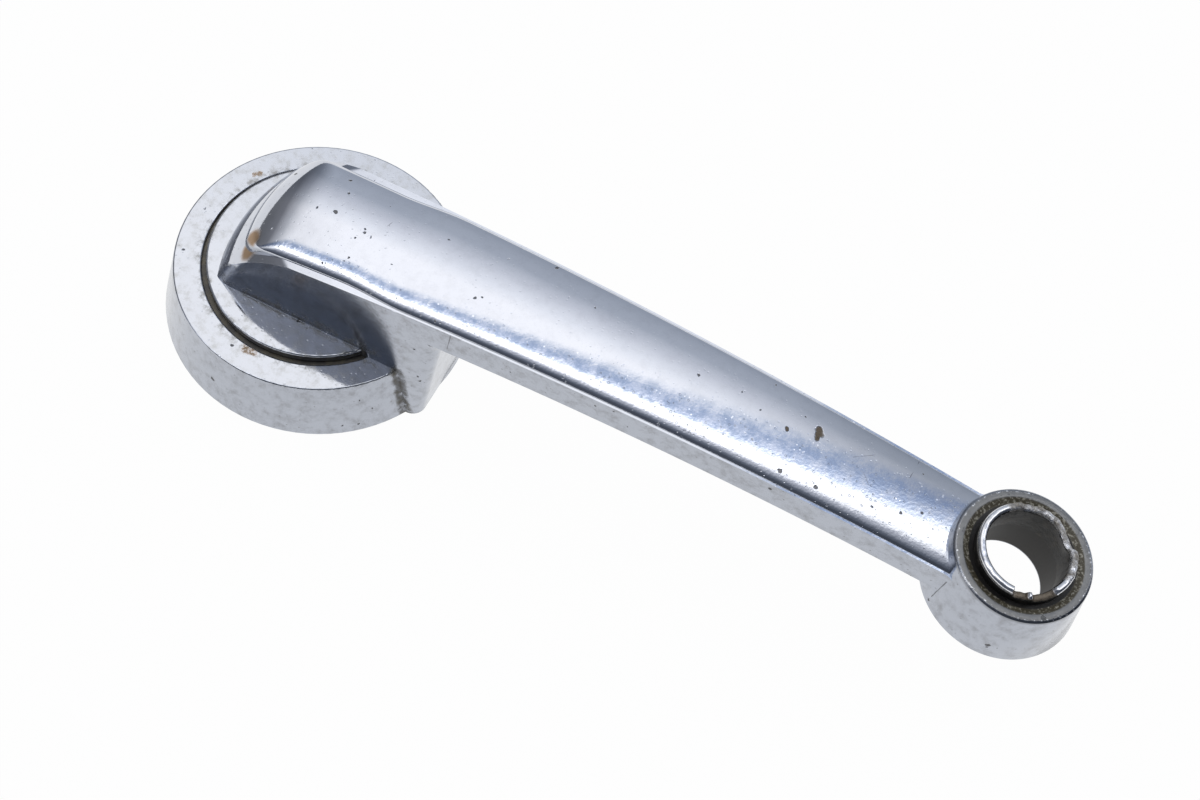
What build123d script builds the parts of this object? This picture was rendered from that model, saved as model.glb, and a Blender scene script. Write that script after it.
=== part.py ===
from build123d import *
import math
import os

# Crank handle of a window winder: a chromed zinc casting with a steel knob sleeve
# pressed into its eye. Millimetres. The origin is where the spindle axis meets the
# back face of the hub, +Z points out of the door and +X runs along the arm.

# ---- hub: a stepped round flange ------------------------------------------------
hub_back_radius = 21.9
hub_ring_radius = 20.0
hub_ring_height = 9.6
hub_disc_radius = 15.5
hub_disc_step = 1.0
hub_groove_width = 0.65
hub_groove_depth = 0.5
hub_edge_round = 0.3

# ---- hub underside: plain recess round the spindle socket -----------------------
hub_wall = 2.3
socket_boss_radius = 8.2
socket_lead_radius = 5.3
socket_lead_length = 4.0
socket_root_radius = 4.9
socket_tooth_depth = 0.45
socket_teeth = 24
socket_depth = 14.0
neck_pocket_height = 17.0

# ---- neck and arm ---------------------------------------------------------------
width_reference_height = 24.0
half_width_at_spindle = 9.2
half_width_at_eye = 6.15
side_draft = 3.0
rear_edge_offset = 11.0
rear_edge_height = 15.0
rear_draft = 23.0
rear_arc_radius = 22.0
rear_corner_round = 2.8
arch_rear = (8.0, 22.6)
arch_crest = (51.0, 25.1)
arch_eye = (94.0, 23.3)
shoulder_top = 22.95
shoulder_radius = 16.4
shoulder_start = 7.6
arm_thickness = 4.3
neck_end_x = 21.6
neck_end_draft = 4.5
neck_cove_radius = 2.8
neck_corner_round = 2.0
flat_cross_radius = 2000.0

# ---- crown on top of the arm ----------------------------------------------------
crown_ledge_rear = 2.5
crown_ledge_hub = 1.0
crown_ledge_eye = 0.3
crown_ledge_taper_end = 18.0
crown_rise_hub = 1.75
crown_rise_crest = 1.2
crown_rise_eye = 0.72
crown_shoulder_top = 24.8
crown_shoulder_radius = 15.5
crown_corner_round = 2.5
crown_overlap = 0.05
crown_root = 3.5

# ---- eye and knob sleeve --------------------------------------------------------
spindle_to_eye = 101.2
eye_back_radius = 10.75
eye_top_radius = 9.0
eye_depth = 9.0
eye_stand_out = 2.2
eye_edge_round = 0.4
eye_rim_width = 1.1
eye_recess_depth = 0.4
eye_recess_slope = 0.7
eye_cove_radius = 1.8
sleeve_outer_radius = 6.45
sleeve_wall = 1.05
sleeve_seat_depth = 3.1
sleeve_stand_out = 1.7
sleeve_rim_round = 0.45
eye_bore_radius = 5.6

# ---- damage on the sleeve's rim -------------------------------------------------
notch_from = -88.0
notch_to = -34.0
notch_depth = 0.9
dent_from = 28.0
dent_to = 70.0
dent_depth = 0.55

disc_height = hub_ring_height + hub_disc_step
rear_arc_x = rear_arc_radius - rear_edge_offset
eye_top_height = arch_eye[1] + eye_stand_out
eye_back_height = eye_top_height - eye_depth
sleeve_bore_radius = sleeve_outer_radius - sleeve_wall
sleeve_seat_height = eye_top_height - sleeve_seat_depth
sleeve_top_height = eye_top_height + sleeve_stand_out
block_height = arch_crest[1] + 4


def half_width(x, z):
    """Half the arm's width at a place along it and a height on its drafted side."""
    taper = (half_width_at_spindle - half_width_at_eye) / spindle_to_eye
    lean = math.tan(math.radians(side_draft)) * (width_reference_height - z)
    return half_width_at_spindle - taper * x + lean


def arch(rise_rear, rise_crest, rise_eye):
    """Shallow arc from the hub over the arm to the eye, raised by three amounts."""
    return ThreePointArc(
        (arch_rear[0], arch_rear[1] + rise_rear),
        (arch_crest[0], arch_crest[1] + rise_crest),
        (arch_eye[0], arch_eye[1] + rise_eye),
    )


def height_on(curve, x):
    """Height of an arch at a place along the arm."""
    centre = curve.arc_center
    return centre.Y + math.sqrt(curve.radius**2 - (x - centre.X) ** 2)


def is_upright(edge):
    """Whether an edge runs most of the way up the neck."""
    return edge.bounding_box().size.Z > hub_ring_height


def under_arch(curve, cross_radius):
    """Everything below an arch whose cross-section is an arc of its own."""
    centre = curve.arc_center
    reach = hub_back_radius
    top = centre.Y + curve.radius
    sag = cross_radius - math.sqrt(cross_radius**2 - reach**2)
    section = Curve() + [
        ThreePointArc((-reach, top - sag), (0, top), (reach, top - sag)),
        Polyline((reach, top - sag), (reach, top - 60), (-reach, top - 60), (-reach, top - sag)),
    ]
    face = Plane((centre.X, 0, 0), x_dir=(0, 1, 0), z_dir=(1, 0, 0)) * make_face(section)
    pivot = Axis((centre.X, 0, centre.Y), (0, 1, 0))
    half_turn = math.degrees(spindle_to_eye / curve.radius)
    return revolve(face, pivot, half_turn) + revolve(face, pivot, -half_turn)


def under_shoulder(top, radius):
    """Everything below a turned shoulder that rolls down to the rear end."""
    centre = (shoulder_start, top - radius)
    end = (shoulder_start + radius, top - radius)
    middle = (shoulder_start + radius * math.sin(math.pi / 4), top - radius * (1 - math.cos(math.pi / 4)))
    section = Curve() + [
        Line((0, 0), (end[0], 0)),
        Line((end[0], 0), end),
        ThreePointArc(end, middle, (shoulder_start, top)),
        Line((shoulder_start, top), (0, top)),
        Line((0, top), (0, 0)),
    ]
    turned = revolve(Plane.XZ * make_face(section), Axis.Z)
    rest = Box(spindle_to_eye, 3 * rear_arc_radius, block_height, align=(Align.MIN, Align.CENTER, Align.MIN))
    return Pos(rear_arc_x, 0, 0) * (turned + rest)


def hub():
    """Flange with a raised disc, turned about the spindle axis."""
    ring_inner = hub_disc_radius + hub_groove_width
    groove_floor = hub_ring_height - hub_groove_depth
    outline = Polyline(
        (0, 0),
        (hub_back_radius, 0),
        (hub_ring_radius, hub_ring_height),
        (ring_inner, hub_ring_height),
        (ring_inner, groove_floor),
        (hub_disc_radius, groove_floor),
        (hub_disc_radius, disc_height),
        (0, disc_height),
        close=True,
    )
    section = make_face(outline)
    rounded = [
        v
        for v in section.vertices()
        if v.Y > groove_floor + 0.1 and v.X > 1
    ]
    section = fillet(rounded, hub_edge_round)
    return revolve(Plane.XZ * section, Axis.Z)


def plan_at(height):
    """Straight-sided outline of neck and arm at one height."""
    rear = -hub_back_radius
    near = half_width(rear, height)
    far = half_width(spindle_to_eye, height)
    return Plane.XY.offset(height) * make_face(
        Polyline(
            (rear, -near),
            (spindle_to_eye, -far),
            (spindle_to_eye, far),
            (rear, near),
            close=True,
        )
    )


def rear_cone():
    """Upright cone whose flank is the curved, leaning rear end."""
    lean = math.tan(math.radians(rear_draft))
    low = rear_arc_radius + lean * rear_edge_height
    high = rear_arc_radius - lean * (block_height - rear_edge_height)
    cone = Cone(low, high, block_height, align=(Align.CENTER, Align.CENTER, Align.MIN))
    rest = Box(spindle_to_eye, 3 * rear_arc_radius, block_height, align=(Align.MIN, Align.CENTER, Align.MIN))
    return Pos(rear_arc_x, 0, 0) * (cone + rest)


def neck_outline():
    """Side view of the neck: leaning end wall and the cove under the arm."""
    under = arch(-arm_thickness, -arm_thickness, -arm_thickness)
    lean = math.tan(math.radians(neck_end_draft))
    start_x = neck_end_x + lean * (arch_rear[1] - arm_thickness)
    stub_x = start_x + 1.5 * neck_cove_radius
    start = (start_x, height_on(under, start_x))
    face = make_face(
        Polyline(
            (-hub_back_radius, 0),
            (neck_end_x, 0),
            start,
            (stub_x, height_on(under, stub_x)),
            (stub_x, block_height),
            (-hub_back_radius, block_height),
            close=True,
        )
    )
    cove = face.vertices().sort_by_distance((*start, 0))[0]
    return Plane.XZ * fillet(cove, neck_cove_radius)


def arm():
    """Neck and arm below the upper edge, with drafted sides and rounded corners."""
    wedge = loft([plan_at(0), plan_at(block_height)], ruled=True)
    neck = wedge & extrude(neck_outline(), rear_arc_radius, both=True)
    near_end = neck.edges().filter_by_position(Axis.X, hub_ring_radius, neck_end_x + 2)
    neck = fillet(near_end.filter_by(is_upright), neck_corner_round)
    slab = wedge - under_arch(arch(-arm_thickness, -arm_thickness, -arm_thickness), flat_cross_radius)
    block = (slab + neck) & rear_cone()
    rear = block.edges().filter_by(is_upright).filter_by(lambda e: e.center().X < 0)
    block = fillet(rear, rear_corner_round)
    block &= under_arch(arch(0, 0, 0), flat_cross_radius)
    return block & under_shoulder(shoulder_top, shoulder_radius)


def crown_section(x):
    """Half-ellipse across the arm at one place along it, standing on a root."""
    base = height_on(arch(0, 0, 0), x) - crown_overlap
    rise = height_on(arch(crown_rise_hub, crown_rise_crest, crown_rise_eye), x) - base
    along = (x - arch_rear[0]) / (crown_ledge_taper_end - arch_rear[0])
    ledge = crown_ledge_hub + (crown_ledge_eye - crown_ledge_hub) * min(1, max(0, along))
    half = half_width(x, base) - ledge
    outline = Curve() + [
        EllipticalCenterArc((0, base), half, rise, start_angle=0, arc_size=180),
        Polyline((-half, base), (-half, base - crown_root), (half, base - crown_root), (half, base)),
    ]
    return Plane((x, 0, 0), x_dir=(0, 1, 0), z_dir=(1, 0, 0)) * make_face(outline)


def crown():
    """Crowned top of the arm, rolled down and rounded in plan at the rear."""
    stations = [-hub_ring_height, 0, arch_rear[0], crown_ledge_taper_end]
    stations += [34, arch_crest[0], 72, arch_eye[0], arch_eye[0] + 5]
    ridge = loft([crown_section(x) for x in stations])
    ridge &= under_shoulder(crown_shoulder_top, crown_shoulder_radius)
    radius = rear_arc_radius - crown_ledge_rear
    plan = Rectangle(2 * spindle_to_eye, 2 * (half_width_at_spindle - crown_ledge_hub)) & (
        Circle(radius) + Pos(spindle_to_eye, 0) * Rectangle(2 * spindle_to_eye, 3 * radius)
    )
    plan = fillet(plan.vertices().group_by(Axis.X)[0], crown_corner_round)
    return ridge & extrude(Pos(rear_arc_x, 0) * plan, block_height, dir=(0, 0, 1))


def eye():
    """Conical boss at the arm's far end, recessed on top, before it is bored."""
    recess_radius = eye_top_radius - eye_rim_width
    outline = Polyline(
        (0, eye_back_height),
        (eye_back_radius, eye_back_height),
        (eye_top_radius, eye_top_height),
        (recess_radius, eye_top_height),
        (recess_radius - eye_recess_slope, eye_top_height - eye_recess_depth),
        (0, eye_top_height - eye_recess_depth),
        close=True,
    )
    section = make_face(outline)
    rim = section.vertices().sort_by_distance((eye_top_radius, eye_top_height, 0))[0]
    section = fillet(rim, eye_edge_round)
    boss = revolve(Plane.XZ * section, Axis.Z)
    return Pos(spindle_to_eye, 0, 0) * boss


def eye_bore():
    """Seat for the knob sleeve and the smaller hole below it."""
    seat = Cylinder(sleeve_outer_radius, 20, align=(Align.CENTER, Align.CENTER, Align.MIN))
    hole = Cylinder(eye_bore_radius, 60)
    return Pos(spindle_to_eye, 0, sleeve_seat_height) * seat + Pos(spindle_to_eye, 0, 0) * hole


def hub_recess():
    """Hollow of the hub's underside, left round the spindle boss."""
    up = (Align.CENTER, Align.CENTER, Align.MIN)
    draft_step = (hub_back_radius - hub_ring_radius) * 0.8
    depth = hub_ring_height - hub_groove_depth - hub_wall
    flange = Cone(hub_back_radius - hub_wall, hub_back_radius - hub_wall - draft_step, depth, align=up)
    pocket_half = half_width(neck_end_x, neck_pocket_height) - hub_wall
    pocket = Pos((neck_end_x - hub_wall) / 2, 0, 0) * Box(
        neck_end_x - hub_wall, 2 * pocket_half, neck_pocket_height, align=up
    )
    keep = Cylinder(socket_boss_radius, neck_pocket_height + 1, align=up)
    return flange + pocket - keep


def socket():
    """Round lead-in and the serrated socket for the spindle."""
    up = (Align.CENTER, Align.CENTER, Align.MIN)
    lead = Cylinder(socket_lead_radius, socket_lead_length, align=up)
    tip = socket_root_radius - socket_tooth_depth
    step = 2 * math.pi / socket_teeth
    star = [
        (
            (socket_root_radius if k % 2 else tip) * math.cos(step * k / 2),
            (socket_root_radius if k % 2 else tip) * math.sin(step * k / 2),
        )
        for k in range(2 * socket_teeth)
    ]
    splines = extrude(make_face(Polyline(*star, close=True)), socket_depth)
    return lead + splines


def crank_casting():
    """The one-piece casting: hub, neck, arm, crown and eye."""
    body = arm() + crown() + eye()
    junction = body.edges().filter_by_position(Axis.X, spindle_to_eye - eye_back_radius, arch_eye[0] + 0.5)
    junction = junction.filter_by(lambda e: e.center().Z < arch_eye[1] - 0.5)
    junction = junction.filter_by(lambda e: e.bounding_box().size.Z > 0.05)
    body = fillet(junction, eye_cove_radius)
    return body + hub() - eye_bore() - hub_recess() - socket()


def knob_sleeve():
    """Steel tube in the eye, with a broken-out notch and a dent in its rim."""
    outline = Polyline(
        (sleeve_bore_radius, sleeve_seat_height),
        (sleeve_outer_radius, sleeve_seat_height),
        (sleeve_outer_radius, sleeve_top_height),
        (sleeve_bore_radius, sleeve_top_height),
        close=True,
    )
    section = make_face(outline)
    rim = [v for v in section.vertices() if v.Y > sleeve_top_height - 0.01]
    section = fillet(rim, sleeve_rim_round)
    tube = revolve(Plane.XZ * section, Axis.Z)
    for start, end, depth in (
        (notch_from, notch_to, notch_depth),
        (dent_from, dent_to, dent_depth),
    ):
        bite = revolve(Plane.XZ * Pos(sleeve_outer_radius, 0) * Rectangle(4, 2 * depth), Axis.Z, end - start)
        tube -= Pos(0, 0, sleeve_top_height) * Rot(0, 0, start) * bite
    return Pos(spindle_to_eye, 0, 0) * tube


parts = {"crank_casting": crank_casting, "knob_sleeve": knob_sleeve}
os.makedirs("parts", exist_ok=True)
for name, build in parts.items():
    export_step(build(), f"parts/{name}.step")
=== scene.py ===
import math

import bpy
from mathutils import Matrix, Vector


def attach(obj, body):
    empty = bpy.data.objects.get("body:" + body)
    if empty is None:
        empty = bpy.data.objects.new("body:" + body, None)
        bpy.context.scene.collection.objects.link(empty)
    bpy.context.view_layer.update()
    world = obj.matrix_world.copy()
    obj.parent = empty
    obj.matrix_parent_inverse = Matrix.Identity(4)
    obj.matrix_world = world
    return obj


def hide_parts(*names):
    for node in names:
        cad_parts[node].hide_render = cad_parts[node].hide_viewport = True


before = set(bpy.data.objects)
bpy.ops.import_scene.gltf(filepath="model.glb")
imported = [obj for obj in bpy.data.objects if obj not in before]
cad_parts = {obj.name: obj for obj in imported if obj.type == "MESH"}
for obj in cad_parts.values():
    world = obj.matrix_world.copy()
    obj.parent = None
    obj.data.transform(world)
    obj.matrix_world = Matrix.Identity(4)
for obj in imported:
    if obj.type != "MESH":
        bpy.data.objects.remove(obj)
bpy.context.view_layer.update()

# The hub and neck are the root of one zinc die casting, polished and chrome plated. They keep
# the casting's own mesh, merged and cut off a little way along the arm. Where the crown goes
# on, the mesh is laid level with the ledge, because the crown is a surface of its own.
MM = 0.001
SPINDLE_TO_EYE = 101.2
ARCH_REAR = (8, 22.6)
ARCH_CREST = (51, 25.1)
ARCH_EYE = (94, 23.3)
REAR_ARC_X = 11.0
SHOULDER_START = 7.6
SHOULDER_RISE = 0.05
SHOULDER_CLEAR = 3
LEDGE_TOP = 22.95
LEDGE_ROLL = 16.4
ARM_HALF = 9.2
ARM_HALF_AT = 24
ARM_TAPER = 3.05 / SPINDLE_TO_EYE
ARM_DRAFT = math.tan(math.radians(3))
NECK_CUT = 26.0
SEAT_END = 40
SEAT_FOOT = 14
SEAT_MARGIN = 0.2


def arch_height(x, rear=0.0, crest=0.0, at_eye=0.0):
    """Height of the long arc from hub to eye, raised by three amounts, in millimetres."""
    (ax, ay), (bx, by), (cx, cy) = ARCH_REAR, ARCH_CREST, ARCH_EYE
    ay, by, cy = ay + rear, by + crest, cy + at_eye
    turn = 2 * (ax * (by - cy) + bx * (cy - ay) + cx * (ay - by))
    a, b, c = ax**2 + ay**2, bx**2 + by**2, cx**2 + cy**2
    middle_x = (a * (by - cy) + b * (cy - ay) + c * (ay - by)) / turn
    middle_z = (a * (cx - bx) + b * (ax - cx) + c * (bx - ax)) / turn
    radius = math.hypot(ax - middle_x, ay - middle_z)
    return middle_z + math.sqrt(radius**2 - (x - middle_x) ** 2)


def shoulder_height(x, y, top, radius):
    """Height of a turned shoulder that rolls down to the rear end, and is no limit past it."""
    out = math.hypot(x - REAR_ARC_X, y) - SHOULDER_START
    if x > REAR_ARC_X:
        return top + SHOULDER_CLEAR
    if out <= 0:
        return top + SHOULDER_RISE * out**2
    return top - radius + math.sqrt(max(radius**2 - out**2, 0))


def ledge_height(x, y):
    """Height of the arm's top, on which the crown stands."""
    return min(arch_height(x), shoulder_height(x, y, LEDGE_TOP, LEDGE_ROLL))


def half_width(x, z):
    """Half the arm's width at a place along it and a height on its drafted side."""
    return ARM_HALF - ARM_TAPER * x + ARM_DRAFT * (ARM_HALF_AT - z)


def edit_all():
    """Open the active piece for editing, with all of it selected."""
    bpy.ops.object.mode_set(mode="EDIT")
    bpy.ops.mesh.select_all(action="SELECT")


casting_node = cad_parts["crank_casting"]
bpy.ops.object.select_all(action="DESELECT")
casting = casting_node.copy()
casting.data = casting_node.data.copy()
casting.name = "chromed_casting"
casting.data.name = "chromed_casting"
bpy.context.scene.collection.objects.link(casting)
bpy.context.view_layer.objects.active = casting
casting.select_set(True)
edit_all()
bpy.ops.mesh.remove_doubles(threshold=0.000004)
bpy.ops.object.mode_set(mode="OBJECT")
for vertex in casting.data.vertices:
    x, y, z = vertex.co / MM
    under_crown = x < SEAT_END and z > SEAT_FOOT and abs(y) < half_width(x, z) + SEAT_MARGIN
    if under_crown and z > ledge_height(x, y):
        vertex.co.z = ledge_height(x, y) * MM
edit_all()
bpy.ops.mesh.bisect(
    plane_co=(NECK_CUT * MM, 0, 0), plane_no=(1, 0, 0), use_fill=True, clear_outer=True
)
bpy.ops.mesh.select_all(action="SELECT")
bpy.ops.mesh.remove_doubles(threshold=0.00003)
bpy.ops.mesh.dissolve_degenerate(threshold=0.00002)
bpy.ops.mesh.dissolve_limited(angle_limit=math.radians(0.6))
bpy.ops.object.mode_set(mode="OBJECT")
bpy.ops.object.shade_smooth_by_angle(angle=math.radians(24))
evening = casting.modifiers.new("even_normals", "WEIGHTED_NORMAL")
evening.mode = "FACE_AREA_WITH_ANGLE"
evening.weight = 60
evening.keep_sharp = True
bpy.ops.object.modifier_apply(modifier="even_normals")

# The ledge is the flat of the arm that shows round the crown. Over the hub it is a sheet of its
# own, rolled down to the rear and rounded at the corners, laid just over the neck's mesh.
LEDGE_ROWS = 90
LEDGE_COLUMNS = 80
LEDGE_HALF = 9.45
LEDGE_REAR_RADIUS = 22.4
LEDGE_CORNER = 2.8
LEDGE_LIFT = 0.015
LEDGE_SIDE_INSET = 0.012
LEDGE_SKIRT = (0.06, 0, -0.3)
LEDGE_SHRINK = 0.99
LEDGE_MIDDLE_X = 8


def rear_line(y, radius, half, corner):
    """Where a rounded rear end begins, at a distance from the middle."""
    arc = REAR_ARC_X - math.sqrt(radius**2 - y**2)
    over = max(0, abs(y) - (half - corner)) / corner
    return arc + corner * (1 - math.sqrt(max(0, 1 - min(over, 1) ** 2)))


def close_sheet(skirt, shrink=None):
    """Give the active sheet a short skirt and a floor, so that it is closed."""
    edit_all()
    bpy.ops.mesh.region_to_loop()
    bpy.ops.mesh.extrude_edges_move(TRANSFORM_OT_translate={"value": Vector(skirt) * MM})
    if shrink:
        middle = (LEDGE_MIDDLE_X * MM, 0, 0)
        bpy.ops.transform.resize(value=(shrink, shrink, 1), center_override=middle)
    bpy.ops.mesh.edge_face_add()


def face_outward():
    """Turn every face of the piece in hand outward, and leave edit mode."""
    bpy.ops.mesh.select_all(action="SELECT")
    bpy.ops.mesh.normals_make_consistent(inside=False)
    bpy.ops.object.mode_set(mode="OBJECT")


bpy.ops.object.select_all(action="DESELECT")
bpy.ops.mesh.primitive_grid_add(x_subdivisions=LEDGE_ROWS, y_subdivisions=LEDGE_COLUMNS, size=2)
ledge = bpy.context.object
for vertex in ledge.data.vertices:
    along, share = (vertex.co.x + 1) / 2, math.sin(vertex.co.y * math.pi / 2)
    rear = rear_line(LEDGE_HALF * share, LEDGE_REAR_RADIUS, LEDGE_HALF, LEDGE_CORNER)
    x = rear + (NECK_CUT - rear) * along
    y = LEDGE_HALF * share
    for _ in range(4):
        z = ledge_height(x, y)
        y = (half_width(x, z) - LEDGE_SIDE_INSET) * share
    vertex.co = Vector((x, y, z + LEDGE_LIFT)) * MM
close_sheet(LEDGE_SKIRT, LEDGE_SHRINK)
face_outward()
bpy.ops.object.shade_smooth_by_angle(angle=math.radians(35))

# The arm is a flat-sided bar that tapers and arches to the eye, where a small cove leads each
# side into the boss. It is drawn out section by section from the end of the neck.
ARM_THICKNESS = 4.3
ARM_STATIONS = [28 + 4 * k for k in range(17)]
ARM_LAP = 0.6
ARM_LAP_INSET = 0.1
ARM_TIP_X = 94.3
ARM_TIP_HALF = 6.2
ARM_TIP_INSET = 0.05
EYE_BACK_RADIUS = 10.75
EYE_TOP_RADIUS = 9.0
EYE_BACK = 16.5
EYE_TOP = 25.5
COVE = 1.8
COVE_STEPS = 9


def eye_radius(z):
    """Radius of the boss at a height."""
    return EYE_TOP_RADIUS + (EYE_BACK_RADIUS - EYE_TOP_RADIUS) * (EYE_TOP - z) / (EYE_TOP - EYE_BACK)


def cove_point(z, share):
    """A point of the cove between side and boss, from 0 on the side to 1 on the boss."""
    slope = math.atan(ARM_TAPER)
    along = Vector((math.cos(slope), -math.sin(slope)))
    out = Vector((math.sin(slope), math.cos(slope)))
    middle = Vector((SPINDLE_TO_EYE, 0))
    reach = half_width(SPINDLE_TO_EYE, z) * math.cos(slope)
    run = math.sqrt((eye_radius(z) + COVE) ** 2 - (reach + COVE) ** 2)
    centre = middle + out * (reach + COVE) - along * run
    start = math.atan2(-out.y, -out.x)
    toward = middle - centre
    end = math.atan2(toward.y, toward.x)
    angle = start + (end - start) * share
    return centre + Vector((math.cos(angle), math.sin(angle))) * COVE


def side_edges(x, inset, half=None):
    """The upper and lower edge of the arm's side at a place along it."""
    edges = []
    for z in (arch_height(x) - inset, arch_height(x) - ARM_THICKNESS + inset):
        edges.append((x, half if half else half_width(x, z) - inset, z))
    return edges


sections = [side_edges(NECK_CUT - ARM_LAP, ARM_LAP_INSET)]
sections += [side_edges(x, 0) for x in [NECK_CUT] + ARM_STATIONS]
for k in range(COVE_STEPS + 1):
    pair = []
    for drop in (0, ARM_THICKNESS):
        point = cove_point(ARCH_EYE[1] - drop, k / COVE_STEPS)
        pair.append((point.x, point.y, arch_height(point.x) - drop))
    sections.append(pair)
sections.append(side_edges(ARM_TIP_X, ARM_TIP_INSET, ARM_TIP_HALF))
bpy.ops.object.select_all(action="DESELECT")
bpy.ops.mesh.primitive_plane_add(size=1)
bar = bpy.context.object
edit_all()
for _ in range(len(sections) - 1):
    bpy.ops.mesh.extrude_region_move(TRANSFORM_OT_translate={"value": (0, 0, 1)})
bpy.ops.object.mode_set(mode="OBJECT")
levels = sorted({round(v.co.z) for v in bar.data.vertices})
for vertex in bar.data.vertices:
    top, bottom = sections[levels.index(round(vertex.co.z))]
    x, y, z = top if vertex.co.x > 0 else bottom
    vertex.co = Vector((x, y if vertex.co.y > 0 else -y, z)) * MM
edit_all()
face_outward()
bpy.ops.object.shade_smooth_by_angle(angle=math.radians(30))

# The crown is the cushion on top: half an ellipse across, rolled down over the hub and rounded
# at its rear corners. It is laid as one fine sheet of rows so that the plating mirrors cleanly.
CROWN_ROWS = 220
CROWN_COLUMNS = 72
CROWN_ROW_SPREAD = 0.65
CROWN_HALF = 8.2
CROWN_REAR_RADIUS = 19.5
CROWN_CORNER = 2.5
CROWN_FRONT_RADIUS = 8.4
CROWN_FRONT_HALF = 5.8
CROWN_RISE = (1.75, 1.2, 0.72)
CROWN_TOP = 24.8
CROWN_ROLL = 15.5
CROWN_EDGE = 1.7
CROWN_SUNK = 0.05
CROWN_SKIRT = (0, 0, -1.2)
CREASE_BLEND = 0.9
WIDE_LEDGE = 1
NARROW_LEDGE = 0.3
NARROWING_START = 8
NARROWING_LENGTH = 10


def crown_half(x):
    """Half the crown's width, inside a ledge that narrows along the hub."""
    along = min(1, max(0, (x - NARROWING_START) / NARROWING_LENGTH))
    along = along * along * (3 - 2 * along)
    return half_width(x, ledge_height(x, 0)) - (WIDE_LEDGE + (NARROW_LEDGE - WIDE_LEDGE) * along)


def softer(a, b, blend):
    """The lower of two heights, with the crease between them rolled."""
    share = min(1, max(0, 0.5 + 0.5 * (b - a) / blend))
    return b + (a - b) * share - blend * share * (1 - share)


bpy.ops.object.select_all(action="DESELECT")
bpy.ops.mesh.primitive_grid_add(x_subdivisions=CROWN_ROWS, y_subdivisions=CROWN_COLUMNS, size=2)
crown = bpy.context.object
for vertex in crown.data.vertices:
    along, turn = (vertex.co.x + 1) / 2, vertex.co.y * math.pi / 2
    share = math.sin(turn)
    rear = rear_line(CROWN_HALF * share, CROWN_REAR_RADIUS, CROWN_HALF, CROWN_CORNER)
    front = SPINDLE_TO_EYE - math.sqrt(CROWN_FRONT_RADIUS**2 - (CROWN_FRONT_HALF * share) ** 2)
    spread = (1 - CROWN_ROW_SPREAD) * along + CROWN_ROW_SPREAD * along**2
    x = rear + (front - rear) * spread
    y = crown_half(x) * share
    base = arch_height(x) - CROWN_SUNK
    rise = arch_height(x, *CROWN_RISE) - base
    shoulder = shoulder_height(x, y, CROWN_TOP, CROWN_ROLL)
    height = softer(base + rise * math.cos(turn), shoulder, CREASE_BLEND)
    floor = ledge_height(x, y) - CROWN_SUNK
    inset = min(1, (x - rear) / CROWN_EDGE)
    height = floor + (height - floor) * math.sqrt(1 - (1 - inset) ** 2)
    vertex.co = Vector((x, y, max(height, floor))) * MM
close_sheet(CROWN_SKIRT)
face_outward()
bpy.ops.object.shade_smooth_by_angle(angle=math.radians(35))

# The eye is a conical boss, dished on top inside a narrow rim and bored through for the knob,
# with a wider seat for the sleeve. It is turned about its own axis.
EYE_BORE = 5.6
EYE_STEPS = 160
SLEEVE_SEAT = 22.4
SLEEVE_OUTER = 6.45


def turned(outline, steps):
    """A closed piece turned about the eye's axis from a loop of radii and heights."""
    bpy.ops.object.select_all(action="DESELECT")
    bpy.ops.mesh.primitive_circle_add(vertices=len(outline), radius=1)
    piece = bpy.context.object
    for vertex, (radius, height) in zip(piece.data.vertices, outline):
        vertex.co = Vector((SPINDLE_TO_EYE + radius, 0, height)) * MM
    edit_all()
    bpy.ops.mesh.spin(
        steps=steps, angle=2 * math.pi, center=(SPINDLE_TO_EYE * MM, 0, 0), axis=(0, 0, 1)
    )
    bpy.ops.mesh.select_all(action="SELECT")
    bpy.ops.mesh.remove_doubles(threshold=0.000002)
    face_outward()
    return piece


boss = turned(
    [
        (EYE_BORE, EYE_BACK),
        (EYE_BACK_RADIUS - 0.2, EYE_BACK),
        (EYE_BACK_RADIUS - 0.06, EYE_BACK + 0.06),
        (EYE_BACK_RADIUS - 0.04, EYE_BACK + 0.2),
        (eye_radius(EYE_TOP - 0.55), EYE_TOP - 0.55),
        (eye_radius(EYE_TOP - 0.38), EYE_TOP - 0.38),
        (eye_radius(EYE_TOP - 0.2) - 0.035, EYE_TOP - 0.2),
        (EYE_TOP_RADIUS - 0.16, EYE_TOP - 0.07),
        (EYE_TOP_RADIUS - 0.36, EYE_TOP),
        (EYE_TOP_RADIUS - 1.0, EYE_TOP),
        (EYE_TOP_RADIUS - 1.14, EYE_TOP - 0.03),
        (EYE_TOP_RADIUS - 1.7, EYE_TOP - 0.33),
        (EYE_TOP_RADIUS - 1.9, EYE_TOP - 0.4),
        (SLEEVE_OUTER, EYE_TOP - 0.42),
        (SLEEVE_OUTER, SLEEVE_SEAT),
        (EYE_BORE, SLEEVE_SEAT),
    ],
    EYE_STEPS,
)
bpy.ops.object.shade_smooth_by_angle(angle=math.radians(30))
for piece in (ledge, bar, crown, boss, casting):
    piece.select_set(True)
bpy.context.view_layer.objects.active = casting
bpy.ops.object.join()

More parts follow.
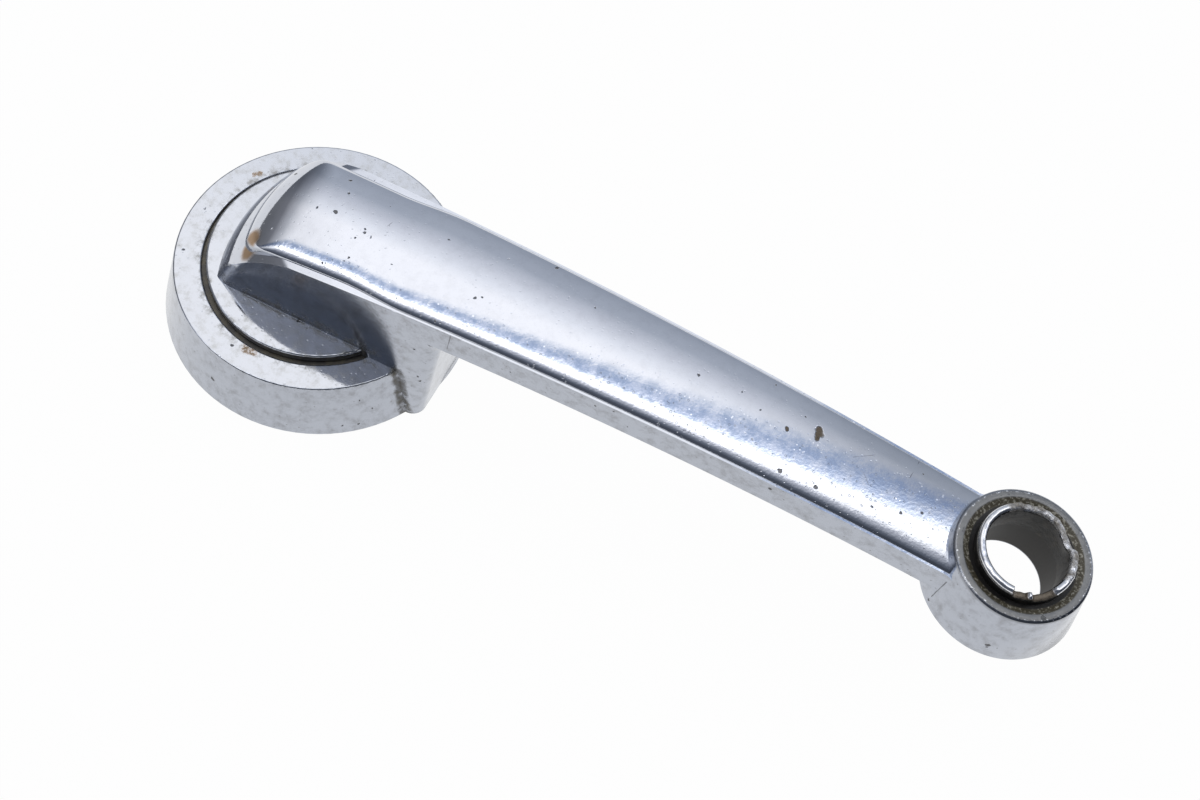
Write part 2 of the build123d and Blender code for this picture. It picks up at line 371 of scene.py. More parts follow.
# The plating is bright chrome, mirror-like on the crown, with pits, chips down to the brown metal,
# fine scratches, rust freckles and old dirt in the groove, in the eye and where the neck meets the
# hub. The underside is bare grey casting. The sides are greyer by painted shade, and the crown and
# eye carry painted reflections, painted highlights and painted shade in hollows.
POLISHED = (0.64, 0.665, 0.725)
HANDLED = (0.57, 0.595, 0.66)
SHADED_SIDE_CHROME = (0.44, 0.465, 0.52)
EYE_END_CHROME = (0.47, 0.495, 0.545)
HUB_CHROME = (0.49, 0.515, 0.565)
PAINTED_BLUE_REFLECTION = (0.38, 0.44, 0.55)
PAINTED_GLINT = (0.95, 0.96, 0.98)
CLOUDED = (0.25, 0.255, 0.27)
HAZED = (0.3, 0.295, 0.26)
PIT_BLACK = (0.07, 0.065, 0.065)
SPECK_BLACK = (0.12, 0.11, 0.1)
CHIP_DARK, CHIP_BROWN = (0.07, 0.045, 0.025), (0.2, 0.16, 0.11)
RUST_BROWN = (0.44, 0.28, 0.13)
CORNER_TAN, CORNER_BROWN = (0.5, 0.35, 0.22), (0.3, 0.2, 0.13)
SOIL_DARK, SOIL_PALE = (0.045, 0.036, 0.022), (0.17, 0.145, 0.09)
RIM_DARK_REFLECTION = (0.24, 0.25, 0.27)
TARNISH_DARK, TARNISH_PALE = (0.13, 0.135, 0.145), (0.3, 0.3, 0.29)
RIM_GLINT = (0.75, 0.77, 0.8)
CRUST_DARK, CRUST_PALE = (0.075, 0.065, 0.04), (0.42, 0.4, 0.33)
GAP_SHADE_BLACK = (0.012, 0.011, 0.01)
BORE_SHADE_BLACK, BORE_SHADE_BROWN = (0.004, 0.004, 0.004), (0.025, 0.019, 0.014)
CAST_GREY, CAST_DARK = (0.3, 0.3, 0.31), (0.2, 0.195, 0.19)
RIPPLE_DEPTH = 0.006
FINE_PIT_DEPTH = 0.008
PIT_DEPTH = 0.05
CHIP_DEPTH = 0.12
CRUST_DEPTH = 0.03
STROKE_CORE = 0.45
# Each mark is a start, an end and a radius; a pit is a place and a radius.
PITS = [
    ((2.3, 3.9, 23.5), 0.24), ((7.4, -0.7, 24.3), 0.32), ((8.2, -1.1, 24.3), 0.16),
    ((6.8, -2.1, 24.2), 0.14), ((7.6, -5.0, 23.9), 0.2), ((7.2, -5.6, 23.7), 0.2),
    ((8.2, 4.7, 24.0), 0.12), ((17.6, 3.6, 25.0), 0.16), ((24.8, -2.8, 25.5), 0.25),
    ((25.6, -2.3, 25.5), 0.14), ((13.0, -3.4, 24.6), 0.12), ((-3.0, 6.8, 22.2), 0.14),
    ((19.8, -9.0, 16.9), 0.22), ((20.7, -9.2, 10.6), 0.3), ((21.1, -9.2, 9.6), 0.22),
    ((33.2, -8.3, 22.2), 0.14), ((14.8, -14.4, 6.4), 0.18), ((16.2, -13.5, 3.9), 0.22),
    ((15.2, -15.4, 1.3), 0.18), ((-3.3, -17.2, 9.6), 0.28), ((2.6, -9.9, 10.6), 0.24),
    ((63.9, 1.2, 26.0), 0.2), ((60.8, 2.3, 26.1), 0.16), ((64.2, 5.8, 25.5), 0.14),
    ((85.9, 4.4, 24.5), 0.15), ((102.5, -10.3, 18.3), 0.2), ((-4.7, -20.6, 3.9), 0.42),
]
CHIPS = [
    ((71.6, 2.7, 25.6), (72.0, 2.2, 25.7), 0.62),
    ((71.7, 2.0, 25.7), (71.9, 1.3, 25.7), 0.42),
    ((67.9, 0.6, 25.9), (68.0, 0.4, 25.9), 0.26),
]
SCRATCHES = [
    ((84.9, 5.9, 24.3), (84.6, 2.9, 24.8), 0.07),
    ((94.2, -6.7, 22.2), (93.8, -7.4, 18.2), 0.12),
    ((24.5, -8.5, 23.9), (24.3, -8.6, 20.6), 0.09),
    ((38.0, 3.0, 26.1), (38.6, 1.0, 26.2), 0.05),
    ((77.0, 1.5, 25.4), (79.4, 3.4, 25.1), 0.05),
    ((80.2, -1.0, 25.2), (78.6, 0.6, 25.4), 0.05),
    ((9.5, 1.5, 24.5), (10.3, 4.2, 24.2), 0.05),
]
RUST = [
    ((-15.6, 8.1, 9.6), (-15.2, 8.5, 9.6), 0.6),
    ((-1.5, -16.9, 9.6), (-0.3, -16.7, 9.6), 0.75),
    ((12.9, 13.1, 9.6), (13.2, 12.8, 9.6), 0.5),
]
TAN_CORNER_PATCH = [((-5.6, -7.0, 20.4), (-6.0, -8.2, 18.8), 1.9)]
NECK_DIRT = [
    ((17.7, -9.6, 9.6), (19.7, -10.0, 0.0), 1.15),
    ((17.7, 9.6, 9.6), (19.7, 10.0, 0.0), 1.15),
]


def feed(tree, socket, value):
    """Set a socket, from another socket or from a plain value."""
    if isinstance(value, bpy.types.NodeSocket):
        tree.links.new(value, socket)
    else:
        socket.default_value = value


def put(tree, kind, **values):
    """A node in a tree, with the given sockets or properties set."""
    node = tree.nodes.new(kind)
    for key, value in values.items():
        if key.startswith("in_"):
            feed(tree, node.inputs[int(key[3:])], value)
        else:
            setattr(node, key, value)
    return node


def calc(tree, operation, *values, clamp=False):
    """The result of one sum on sockets and numbers."""
    node = put(tree, "ShaderNodeMath", operation=operation, use_clamp=clamp)
    for socket, value in zip(node.inputs, values):
        feed(tree, socket, value)
    return node.outputs[0]


def vector(tree, operation, first, second):
    """The result of one sum on two vectors, as a vector or, for some, a number."""
    node = put(tree, "ShaderNodeVectorMath", operation=operation, in_0=first, in_1=second)
    return node.outputs["Value" if operation in ("DOT_PRODUCT", "DISTANCE") else "Vector"]


def scaled(tree, value, by):
    """A vector made longer or shorter."""
    node = put(tree, "ShaderNodeVectorMath", operation="SCALE", in_0=value)
    feed(tree, node.inputs["Scale"], by)
    return node.outputs[0]


def product(tree, *masks):
    """Several masks multiplied together."""
    total = masks[0]
    for mask in masks[1:]:
        total = calc(tree, "MULTIPLY", total, mask)
    return total


def greatest(tree, *masks):
    """The greatest of several masks."""
    total = masks[0]
    for mask in masks[1:]:
        total = calc(tree, "MAXIMUM", total, mask)
    return total


def lay(tree, under, over, amount):
    """One colour laid over another by a mask."""
    node = put(tree, "ShaderNodeMix", data_type="RGBA", in_0=amount)
    for socket, value in ((node.inputs[6], under), (node.inputs[7], over)):
        feed(tree, socket, value if isinstance(value, bpy.types.NodeSocket) else (*value, 1))
    return node.outputs[2]


def between(tree, value, low, high):
    """A mask that rises from 0 at low to 1 at high, or falls where low is the greater."""
    node = put(tree, "ShaderNodeMapRange", interpolation_type="SMOOTHSTEP")
    for socket, number in zip(node.inputs, (value, low, high, 0.0, 1.0)):
        feed(tree, socket, number)
    return node.outputs[0]


def within(tree, value, low, full, end, high):
    """A mask that rises from low to full and falls again from end to high."""
    return product(tree, between(tree, value, low, full), between(tree, value, high, end))


def cloud(tree, place, scale, detail=3.0, rough=0.6):
    """Soft noise from 0 to 1 on the piece's own coordinates."""
    node = put(tree, "ShaderNodeTexNoise", in_0=place)
    node.inputs["Scale"].default_value = scale
    node.inputs["Detail"].default_value = detail
    node.inputs["Roughness"].default_value = rough
    return node.outputs[0]


def new_group(name, inputs, outputs):
    """An empty node group with named sockets, and its two end nodes."""
    group = bpy.data.node_groups.new(name, "ShaderNodeTree")
    for way, labels in (("INPUT", inputs), ("OUTPUT", outputs)):
        for label, kind in labels:
            group.interface.new_socket(name=label, in_out=way, socket_type="NodeSocket" + kind)
    return group, put(group, "NodeGroupInput").outputs, put(group, "NodeGroupOutput").inputs


pitting, given, result = new_group(
    "pitting", [("Place", "Vector"), ("Scale", "Float"), ("Share", "Float")], [("Mask", "Float")]
)
cells = put(pitting, "ShaderNodeTexVoronoi", in_0=given["Place"])
feed(pitting, cells.inputs["Scale"], given["Scale"])
lot = put(pitting, "ShaderNodeSeparateColor", in_0=cells.outputs["Color"]).outputs[0]
over = calc(pitting, "SUBTRACT", lot, calc(pitting, "SUBTRACT", 1.0, given["Share"]))
size = calc(pitting, "MULTIPLY_ADD", calc(pitting, "DIVIDE", over, given["Share"]), 0.24, 0.05)
depth = calc(pitting, "SUBTRACT", size, cells.outputs["Distance"])
pit = between(pitting, depth, 0.0, 0.09)
feed(pitting, result["Mask"], product(pitting, pit, calc(pitting, "GREATER_THAN", over, 0.0)))

stroke, given, result = new_group(
    "stroke",
    [("Place", "Vector"), ("From", "Vector"), ("To", "Vector"), ("Radius", "Float")],
    [("Mask", "Float")],
)
run = vector(stroke, "SUBTRACT", given["To"], given["From"])
off = vector(stroke, "SUBTRACT", given["Place"], given["From"])
square = calc(stroke, "MAXIMUM", vector(stroke, "DOT_PRODUCT", run, run), 1e-12)
share = calc(stroke, "DIVIDE", vector(stroke, "DOT_PRODUCT", off, run), square, clamp=True)
away = vector(stroke, "DISTANCE", off, scaled(stroke, run, share))
away = calc(stroke, "DIVIDE", away, given["Radius"])
feed(stroke, result["Mask"], between(stroke, away, 1.0, STROKE_CORE))


def touched(tree, place, marks):
    """Where any of the marks lies: each a start, an end and a radius in millimetres."""
    masks = []
    for start, end, radius in marks:
        first, last, reach = [v * MM for v in start], [v * MM for v in end], radius * MM
        if start == end:
            away = vector(tree, "DISTANCE", place, first)
            masks.append(between(tree, away, reach, reach * STROKE_CORE))
        else:
            node = put(tree, "ShaderNodeGroup", node_tree=stroke)
            for name, value in (("Place", place), ("From", first), ("To", last), ("Radius", reach)):
                feed(tree, node.inputs[name], value)
            masks.append(node.outputs[0])
    return greatest(tree, *masks)


def pitted(tree, place, scale, share):
    """Scattered pits, from the shared group."""
    node = put(tree, "ShaderNodeGroup", node_tree=pitting)
    for name, value in (("Place", place), ("Scale", scale), ("Share", share)):
        feed(tree, node.inputs[name], value)
    return node.outputs[0]


def ragged(tree, place, scale, reach):
    """The same place shifted a little by noise, so that edges are uneven."""
    noise = put(tree, "ShaderNodeTexNoise", in_0=place)
    noise.inputs["Scale"].default_value = scale
    centred = vector(tree, "SUBTRACT", noise.outputs[1], (0.5, 0.5, 0.5))
    return vector(tree, "ADD", place, scaled(tree, centred, reach * MM))


def from_axis(tree, place, x):
    """Distance from an upright axis, in millimetres."""
    flat = vector(tree, "MULTIPLY", place, (1, 1, 0))
    return product(tree, vector(tree, "DISTANCE", flat, (x * MM, 0, 0)), 1 / MM)


def emboss(tree, shader, relief):
    """Give a shader's surface a relief in millimetres."""
    bump = put(tree, "ShaderNodeBump")
    bump.inputs["Strength"].default_value = 1.0
    bump.inputs["Distance"].default_value = MM
    feed(tree, bump.inputs["Height"], relief)
    feed(tree, shader.inputs["Normal"], bump.outputs[0])


chrome = bpy.data.materials.new("worn_chrome")
chrome.use_nodes = True
tree = chrome.node_tree
plating = tree.nodes["Principled BSDF"]
texture = put(tree, "ShaderNodeTexCoord")
place = texture.outputs["Object"]
uneven = ragged(tree, place, 1500, 0.55)
spot = put(tree, "ShaderNodeSeparateXYZ", in_0=place).outputs
height, outward = product(tree, spot["Z"], 1 / MM), product(tree, spot["X"], 1 / MM)
normal = put(tree, "ShaderNodeSeparateXYZ", in_0=texture.outputs["Normal"]).outputs
upright = between(tree, calc(tree, "ABSOLUTE", normal["Z"]), 0.5, 0.3)
level = calc(tree, "SUBTRACT", 1.0, upright)
from_spindle = from_axis(tree, place, 0)
from_knob = from_axis(tree, place, SPINDLE_TO_EYE)
broad = cloud(tree, place, 110, 4.0)
mottle = cloud(tree, place, 620, 6.0, 0.7)
grain = cloud(tree, place, 2600, 3.0)

# Handled chrome is clouded, most of all on the sides, which also get a darker chrome as painted
# shade. A painted bluish reflection with painted white glints runs along the crown's near crease.
metal = lay(tree, POLISHED, HANDLED, broad)
# Painted shade: the upright sides are laid over with a darker chrome.
metal = lay(tree, metal, SHADED_SIDE_CHROME, upright)
eye_end = product(tree, between(tree, from_knob, 42, 16), level)
metal = lay(tree, metal, EYE_END_CHROME, product(tree, eye_end, 0.85))
tilt = calc(tree, "MULTIPLY_ADD", normal["X"], -0.8, normal["Y"])
tilt = calc(tree, "MULTIPLY_ADD", outward, -0.0018, tilt)
leaning = product(tree, between(tree, tilt, -0.12, -0.18), between(tree, normal["Z"], 0.5, 0.75))
# Painted reflection: a bluish band with painted white glints, set by how the crown's surface tilts.
reflection_band = product(tree, leaning, between(tree, tilt, -0.285, -0.235))
metal = lay(tree, metal, PAINTED_BLUE_REFLECTION, product(tree, reflection_band, between(tree, mottle, 0.36, 0.62)))
metal = lay(tree, metal, PAINTED_GLINT, product(tree, reflection_band, pitted(tree, place, 1700, 0.45)))
blotch = calc(tree, "MULTIPLY_ADD", upright, 0.55, 0.12)
metal = lay(tree, metal, CLOUDED, product(tree, between(tree, mottle, 0.42, 0.75), blotch))

# The top of the hub is duller, with a yellowish haze.
hub_top = product(tree, between(tree, from_spindle, 21.0, 20.4), between(tree, height, 10.9, 10.7))
hub_top = product(tree, hub_top, level)
haze = product(tree, hub_top, between(tree, mottle, 0.42, 0.82))
metal = lay(tree, metal, HUB_CHROME, product(tree, hub_top, 0.75))
metal = lay(tree, metal, HAZED, product(tree, haze, 0.5))

# Pits, scratches, chips, rust and a tan-brown patch on the near rear corner.
fine = pitted(tree, place, 1900, 0.22)
coarse = pitted(tree, uneven, 820, 0.06)
pits = greatest(tree, coarse, touched(tree, uneven, [(at, at, size) for at, size in PITS]))
scratched = touched(tree, ragged(tree, place, 500, 0.12), SCRATCHES)
pit_shade = greatest(tree, pits, product(tree, scratched, 0.75))
metal = lay(tree, metal, PIT_BLACK, product(tree, pit_shade, 0.85))
wall_specks = product(tree, fine, calc(tree, "MULTIPLY_ADD", upright, 0.4, 0.1))
metal = lay(tree, metal, SPECK_BLACK, wall_specks)
chips = touched(tree, uneven, CHIPS)
metal = lay(tree, metal, lay(tree, CHIP_DARK, CHIP_BROWN, grain), chips)
rusty = touched(tree, ragged(tree, place, 900, 1.1), RUST)
rusty = product(tree, rusty, between(tree, grain, 0.3, 0.62))
metal = lay(tree, metal, RUST_BROWN, product(tree, rusty, 0.8))
tan_corner = product(tree, touched(tree, ragged(tree, place, 420, 1.0), TAN_CORNER_PATCH), level)
metal = lay(tree, metal, lay(tree, CORNER_TAN, CORNER_BROWN, mottle), tan_corner)

# Old dirt fills the groove, spills over its edges, and lies at the foot and side of the neck.
groove = within(tree, from_spindle, 15.35, 15.5, 16.15, 16.3)
groove = product(tree, groove, within(tree, height, 8.0, 8.6, 9.35, 9.75))
spill = product(tree, within(tree, from_spindle, 14.7, 15.7, 16.1, 17.6), hub_top)
spill = product(tree, spill, between(tree, mottle, 0.44, 0.68))
foot = product(tree, upright, within(tree, height, 10.65, 10.9, 11.0, 13.2))
foot = product(tree, foot, between(tree, from_spindle, 18.5, 15.9), between(tree, mottle, 0.4, 0.6))
neck_dirt = touched(tree, ragged(tree, place, 700, 0.9), NECK_DIRT)
neck_dirt = product(tree, neck_dirt, between(tree, mottle, 0.28, 0.62))
neck_dirt = product(tree, neck_dirt, calc(tree, "MULTIPLY_ADD", grain, 0.6, 0.45))
dirt = greatest(tree, product(tree, groove, 0.9), product(tree, spill, 0.55))
dirt = greatest(tree, dirt, product(tree, foot, 0.6), neck_dirt)
soil = lay(tree, SOIL_DARK, SOIL_PALE, between(tree, mottle, 0.4, 0.7))
metal = lay(tree, metal, soil, dirt)

# The top of the eye is tarnished inside its rim and crusted on the slope. The rim is painted as a
# dark reflection with a dashed line of painted highlights, and the gap round the sleeve and the bore
# are painted black as shade.
eye_top = product(tree, between(tree, height, 24.9, 25.0), between(tree, from_knob, 9.15, 9.0))
# Painted dark reflection on the rounded rim.
metal = lay(tree, metal, RIM_DARK_REFLECTION, product(tree, eye_top, 0.8))
tarnish = product(tree, eye_top, between(tree, from_knob, 8.85, 8.6))
metal = lay(tree, metal, lay(tree, TARNISH_DARK, TARNISH_PALE, mottle), tarnish)
# Painted highlights: a dashed bright line on the rim.
glint_line = product(tree, within(tree, from_knob, 8.5, 8.6, 8.7, 8.8), eye_top)
metal = lay(tree, metal, RIM_GLINT, product(tree, glint_line, between(tree, grain, 0.56, 0.62)))
slope = product(tree, eye_top, between(tree, from_knob, 7.95, 7.75))
crust = lay(tree, CRUST_DARK, CRUST_PALE, between(tree, grain, 0.5, 0.66))
metal = lay(tree, metal, crust, slope)
# Painted shade: the floor of the gap round the sleeve is painted black.
gap_shade = product(tree, eye_top, between(tree, from_knob, 7.15, 6.95))
metal = lay(tree, metal, GAP_SHADE_BLACK, gap_shade)
# Painted shade: the bore is painted black and brown.
bore_shade = product(tree, between(tree, from_knob, 5.75, 5.65), between(tree, height, 16.55, 16.7))
metal = lay(tree, metal, lay(tree, BORE_SHADE_BLACK, BORE_SHADE_BROWN, mottle), bore_shade)
under = between(tree, normal["Z"], -0.5, -0.8)
metal = lay(tree, metal, lay(tree, CAST_GREY, CAST_DARK, mottle), under)
feed(tree, plating.inputs["Base Color"], metal)

# Dirt, crust, rust and chips, and the painted shade in the bore, are less metallic.
filth_and_bore_shade = greatest(tree, dirt, slope, greatest(tree, bore_shade, rusty), chips)
feed(tree, plating.inputs["Metallic"], calc(tree, "MULTIPLY_ADD", filth_and_bore_shade, -0.85, 1.0))
rough = calc(tree, "MULTIPLY_ADD", mottle, 0.05, 0.035)
rough = calc(tree, "MULTIPLY_ADD", upright, 0.12, rough)
rough = calc(tree, "MULTIPLY_ADD", haze, 0.16, rough)
rough = calc(tree, "MULTIPLY_ADD", pit_shade, 0.25, rough)
dull = greatest(tree, filth_and_bore_shade, tarnish, greatest(tree, under, tan_corner))
feed(tree, plating.inputs["Roughness"], calc(tree, "MULTIPLY_ADD", dull, 0.38, rough))

ripple = product(tree, cloud(tree, place, 330, 1.0), RIPPLE_DEPTH)
dusting = calc(tree, "MULTIPLY_ADD", leaning, 0.01, 0.0016)
relief = calc(tree, "MULTIPLY_ADD", cloud(tree, place, 2300, 2.0), dusting, ripple)
frost = calc(tree, "MULTIPLY_ADD", leaning, 0.034, 0.003)
relief = calc(tree, "SUBTRACT", relief, product(tree, pitted(tree, place, 1500, 0.75), frost))
relief = calc(tree, "MULTIPLY_ADD", fine, -FINE_PIT_DEPTH, relief)
relief = calc(tree, "MULTIPLY_ADD", pits, -PIT_DEPTH, relief)
relief = calc(tree, "MULTIPLY_ADD", chips, -CHIP_DEPTH, relief)
crusty = greatest(tree, eye_top, product(tree, upright, 0.3))
relief = calc(tree, "MULTIPLY_ADD", product(tree, crusty, grain), CRUST_DEPTH, relief)
emboss(tree, plating, relief)
casting.data.materials.clear()
casting.data.materials.append(chrome)
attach(casting, "root")
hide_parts("crank_casting")

# The knob sleeve is a steel tube pressed into the eye. The knob that turned on it was torn
# off: the rim is broken out on the near side, bent in on the far side and bright elsewhere. Its
# outer side below the rim and its inside near the top are painted near black as shade.
SLEEVE_BORE = 5.4
SLEEVE_TOP = 27.2
SLEEVE_STEPS = 240
ROWS = [23.4, 24.4, 25.0, 25.4, 25.8, 26.2, 26.5, 26.75]
RIM = [(5.45, 26.95), (5.6, 27.12), (5.8, 27.2), (6.05, 27.2), (6.25, 27.12), (6.4, 26.95)]
TORN = (-90, -33)
TOOTH = (-74, -62)
BENT = (27, 74)
CRUMPLED = (74, 132)
WAVY = (-20, 140)
BEND_START = 24.6
BEND_REACH = 2.6
BEND_DEPTH = 0.85
BRIGHT_STEEL, WORN_STEEL = (0.72, 0.73, 0.76), (0.5, 0.5, 0.5)
CORRODED_DARK, CORRODED_PALE = (0.16, 0.135, 0.1), (0.48, 0.45, 0.38)
TORN_DARK, TORN_PALE = (0.1, 0.08, 0.055), (0.27, 0.23, 0.18)
FLANK_SHADE_DARK, FLANK_SHADE_PALE = (0.02, 0.02, 0.02), (0.1, 0.09, 0.075)
INSIDE_SHADE_DARK, INSIDE_SHADE_PALE = (0.008, 0.008, 0.008), (0.05, 0.042, 0.032)


def window(angle, sector, ramp_in, ramp_out):
    """How far an angle lies inside a sector whose two ends fade in."""
    start, end = sector
    rise = min(1, max(0, (angle - start) / ramp_in))
    fall = min(1, max(0, (end - angle) / ramp_out))
    share = min(rise, fall)
    return share * share * (3 - 2 * share)


def toward(tree, heading, angle, spread):
    """A mask for the part of a ring that faces one way."""
    way = (math.cos(math.radians(angle)), math.sin(math.radians(angle)), 0)
    edge = math.cos(math.radians(spread))
    return between(tree, vector(tree, "DOT_PRODUCT", heading, way), edge - 0.06, edge + 0.06)


tube_line = [(SLEEVE_BORE, SLEEVE_SEAT)] + [(SLEEVE_BORE, z) for z in ROWS] + RIM
tube_line += [(SLEEVE_OUTER, z) for z in reversed(ROWS)] + [(SLEEVE_OUTER, SLEEVE_SEAT)]
sleeve = turned(tube_line, SLEEVE_STEPS)
sleeve.name = "torn_sleeve"
sleeve.data.name = "torn_sleeve"
for vertex in sleeve.data.vertices:
    x, y, z = vertex.co / MM
    x -= SPINDLE_TO_EYE
    angle, radius = math.degrees(math.atan2(y, x)), math.hypot(x, y)
    wave = math.sin(math.radians(11 * angle)) + 0.6 * math.sin(math.radians(29 * angle + 40))
    broken = window(angle, TORN, 4, 7) * (0.95 + 0.14 * wave)
    broken -= 0.55 * window(angle, TOOTH, 5, 5)
    nicked = 0.025 * max(0, math.sin(math.radians(17 * angle)))
    bent = window(angle, BENT, 7, 30)
    crumpled = 0.12 * window(angle, CRUMPLED, 12, 20) * max(0, 1 + wave)
    drop = max(0, broken) + nicked + 0.3 * bent + crumpled
    z = SLEEVE_SEAT + (z - SLEEVE_SEAT) * (1 - drop / (SLEEVE_TOP - SLEEVE_SEAT))
    lean = max(0, (z - BEND_START) / BEND_REACH)
    radius -= BEND_DEPTH * bent * lean**2 + 0.05 * lean * wave * window(angle, WAVY, 20, 20)
    radius = min(radius, SLEEVE_OUTER)
    turn = math.radians(angle)
    vertex.co = Vector((SPINDLE_TO_EYE + radius * math.cos(turn), radius * math.sin(turn), z)) * MM
bpy.ops.object.shade_smooth_by_angle(angle=math.radians(40))

steel = bpy.data.materials.new("tired_steel")
steel.use_nodes = True
tree = steel.node_tree
shell = tree.nodes["Principled BSDF"]
place = put(tree, "ShaderNodeTexCoord").outputs["Object"]
mottle = cloud(tree, place, 620, 6.0, 0.7)
grain = cloud(tree, place, 2600, 3.0)
from_knob = from_axis(tree, place, SPINDLE_TO_EYE)
height = product(tree, put(tree, "ShaderNodeSeparateXYZ", in_0=place).outputs["Z"], 1 / MM)
offset = vector(tree, "SUBTRACT", place, (SPINDLE_TO_EYE * MM, 0, 0))
offset = vector(tree, "MULTIPLY", offset, (1, 1, 0))
heading = put(tree, "ShaderNodeVectorMath", operation="NORMALIZE", in_0=offset).outputs[0]
bright = lay(tree, BRIGHT_STEEL, WORN_STEEL, between(tree, mottle, 0.45, 0.7))
corroded = lay(tree, CORRODED_DARK, CORRODED_PALE, between(tree, grain, 0.42, 0.66))
far_side = product(tree, toward(tree, heading, 60, 75), between(tree, mottle, 0.36, 0.6))
colour = lay(tree, bright, corroded, product(tree, far_side, 0.85))
broken = product(tree, toward(tree, heading, -61, 29), between(tree, height, 26.75, 26.6))
colour = lay(tree, colour, lay(tree, TORN_DARK, TORN_PALE, mottle), broken)
# Painted shade: the sleeve's outer side below the rim is painted near black.
flank_shade = product(tree, between(tree, from_knob, 6.3, 6.4), between(tree, height, 26.7, 26.3))
shaded = lay(tree, FLANK_SHADE_DARK, FLANK_SHADE_PALE, between(tree, mottle, 0.5, 0.75))
colour = lay(tree, colour, shaded, flank_shade)
# Painted shade: the inside of the sleeve near its top is painted near black.
inner_shade = product(tree, between(tree, from_knob, 5.55, 5.45), between(tree, height, 26.9, 26.5))
shaded = lay(tree, INSIDE_SHADE_DARK, INSIDE_SHADE_PALE, between(tree, mottle, 0.4, 0.75))
colour = lay(tree, colour, shaded, inner_shade)
feed(tree, shell.inputs["Base Color"], colour)
# The corroded, torn and painted-shade parts are less metallic and rougher.
worn_and_shaded = greatest(tree, far_side, broken, greatest(tree, flank_shade, inner_shade))
feed(tree, shell.inputs["Metallic"], calc(tree, "MULTIPLY_ADD", worn_and_shaded, -0.5, 1.0))
rough = calc(tree, "MULTIPLY_ADD", mottle, 0.12, 0.1)
feed(tree, shell.inputs["Roughness"], calc(tree, "MULTIPLY_ADD", worn_and_shaded, 0.3, rough))
specks = pitted(tree, ragged(tree, place, 1500, 0.3), 1500, 0.3)
relief = calc(tree, "MULTIPLY_ADD", specks, -0.02, product(tree, grain, 0.012))
relief = calc(tree, "MULTIPLY_ADD", product(tree, worn_and_shaded, mottle), 0.12, relief)
emboss(tree, shell, relief)
sleeve.data.materials.append(steel)
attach(sleeve, "root")
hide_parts("knob_sleeve")

# The handle lies on a large sheet of white paper, lit so evenly that it looks white directly
# and in the plating, and takes only a faint shadow.
TABLE_SIZE = 6
TABLE_MIDDLE = (0.04, 0, 0)
PAPER_WHITE = (0.86, 0.86, 0.86)
PAPER_ROUGHNESS = 0.9
PAPER_GLOW = 0.98
bpy.ops.mesh.primitive_plane_add(size=TABLE_SIZE, location=TABLE_MIDDLE)
table = bpy.context.object
table.name = "pale_table"
paper = bpy.data.materials.new("white_paper")
paper.use_nodes = True
tree = paper.node_tree
sheet = tree.nodes["Principled BSDF"]
sheet.inputs["Base Color"].default_value = (*PAPER_WHITE, 1)
sheet.inputs["Roughness"].default_value = PAPER_ROUGHNESS
sheet.inputs["Specular IOR Level"].default_value = 0.0
glow = put(tree, "ShaderNodeEmission")
glow.inputs["Strength"].default_value = 1.0
rays = put(tree, "ShaderNodeLightPath").outputs
seen = greatest(tree, rays["Is Camera Ray"], rays["Is Glossy Ray"], rays["Is Transmission Ray"])
share = product(tree, seen, PAPER_GLOW)
blend = put(tree, "ShaderNodeMixShader", in_0=share, in_1=sheet.outputs[0], in_2=glow.outputs[0])
feed(tree, tree.nodes["Material Output"].inputs[0], blend.outputs[0])
table.data.materials.append(paper)

# The studio is a soft sky: a bright strip overhead, a pale field behind the handle, and dim
# room on the near side and at the two ends. Each ramp gives its colour by direction.
SKY_STRENGTH = 3.3
STRIP_SLANT = -0.8
BEHIND = [
    (0.42, (0.75, 0.74, 0.735)),
    (0.5, (0.62, 0.625, 0.64)),
    (0.6, (0.43, 0.44, 0.47)),
    (0.7, (0.285, 0.305, 0.34)),
    (0.95, (0.22, 0.24, 0.275)),
]
ACROSS = [
    (-0.5, (0.035, 0.04, 0.05)),
    (-0.25, (0.08, 0.09, 0.11)),
    (-0.05, (0.3, 0.31, 0.34)),
    (0.04, (0.8, 0.8, 0.8)),
    (0.09, (1.0, 1.0, 1.0)),
    (0.2, (1.0, 1.0, 1.0)),
    (0.27, (0.5, 0.53, 0.6)),
    (0.36, (0.3, 0.34, 0.42)),
    (0.48, (0.6, 0.6, 0.6)),
]
ENDS = [
    (-0.95, (0.12, 0.125, 0.135)),
    (-0.78, (0.16, 0.165, 0.18)),
    (-0.62, (0.42, 0.43, 0.45)),
    (-0.45, (1.0, 1.0, 1.0)),
    (0.5, (1.0, 1.0, 1.0)),
    (0.9, (0.6, 0.6, 0.62)),
]


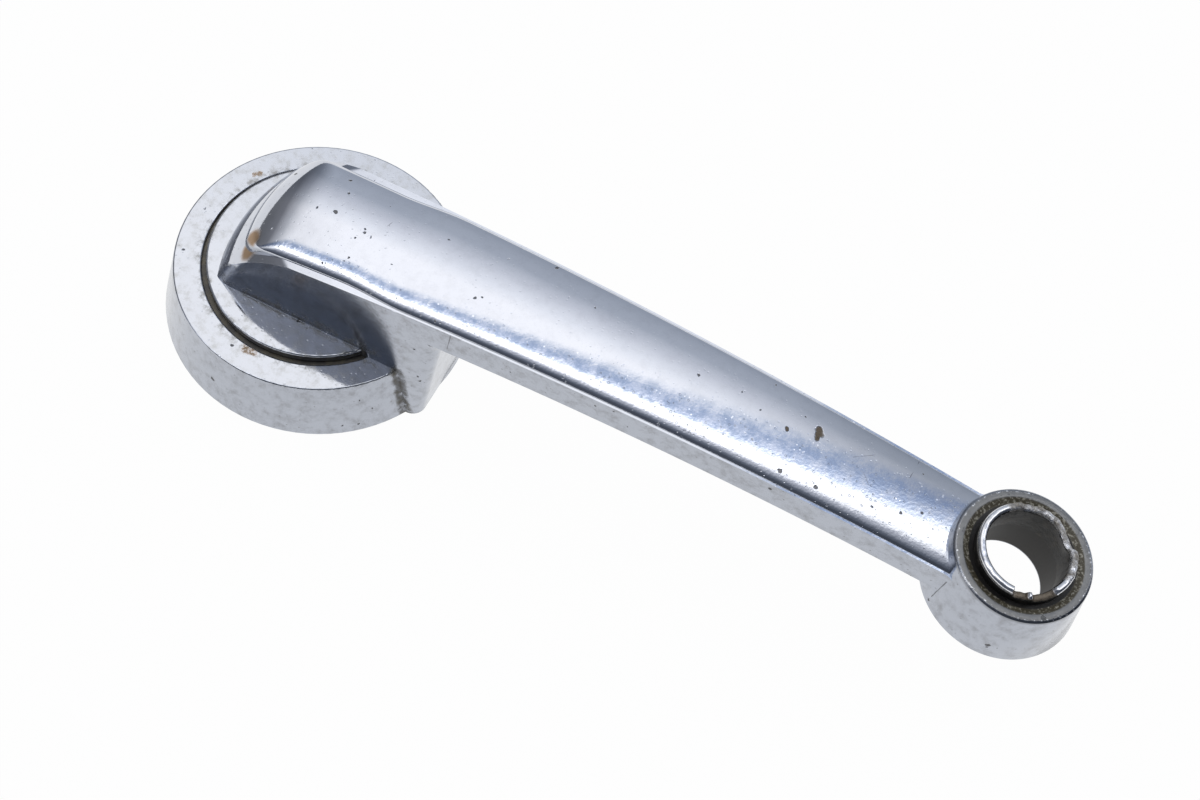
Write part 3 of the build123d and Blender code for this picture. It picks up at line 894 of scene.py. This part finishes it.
def ramp(tree, source, stops):
    """A colour ramp over -1 to 1, from (place, colour) stops."""
    node = put(tree, "ShaderNodeValToRGB", in_0=calc(tree, "MULTIPLY_ADD", source, 0.5, 0.5))
    points = node.color_ramp.elements
    while len(points) > 1:
        points.remove(points[-1])
    for index, (where, colour) in enumerate(stops):
        point = points[0] if index == 0 else points.new(where / 2 + 0.5)
        point.position = where / 2 + 0.5
        point.color = (*colour, 1)
    return node.outputs[0]


def dimmed(tree, first, second):
    """Two colours multiplied."""
    node = put(tree, "ShaderNodeMix", data_type="RGBA", blend_type="MULTIPLY", in_0=1.0)
    feed(tree, node.inputs[6], first)
    feed(tree, node.inputs[7], second)
    return node.outputs[2]


room = bpy.data.worlds.new("studio")
bpy.context.scene.world = room
room.use_nodes = True
tree = room.node_tree
where = put(tree, "ShaderNodeTexCoord").outputs["Generated"]
way = put(tree, "ShaderNodeSeparateXYZ", in_0=where).outputs
slant = calc(tree, "MULTIPLY_ADD", way["X"], STRIP_SLANT, way["Y"])
strip = dimmed(tree, ramp(tree, way["Y"], BEHIND), ramp(tree, slant, ACROSS))
sky = tree.nodes["Background"]
feed(tree, sky.inputs[0], dimmed(tree, strip, ramp(tree, way["X"], ENDS)))
sky.inputs[1].default_value = SKY_STRENGTH

# The camera looks down on the handle from the near side, a little beyond its middle. Its
# place is in millimetres, and the two directions are its right and the way back from the view.
SENSOR_WIDTH = 36
LENS_LENGTH = 47.13
FARTHEST_SEEN = 20
CAMERA_PLACE = (64.47, -100.48, 198.88)
CAMERA_RIGHT = (0.8871, 0.4404, 0.1381)
CAMERA_BACK = (0.0964, -0.4695, 0.8777)
lens = bpy.data.cameras.new("camera")
lens.sensor_width = SENSOR_WIDTH
lens.lens = LENS_LENGTH
lens.clip_end = FARTHEST_SEEN
camera = bpy.data.objects.new("camera", lens)
bpy.context.scene.collection.objects.link(camera)
right = Vector(CAMERA_RIGHT).normalized()
back = Vector(CAMERA_BACK).normalized()
stand = Matrix((right, back.cross(right), back)).transposed().to_4x4()
stand.translation = Vector(CAMERA_PLACE) * MM
camera.matrix_world = stand
bpy.context.scene.camera = camera
bpy.context.scene.view_settings.view_transform = "Standard"
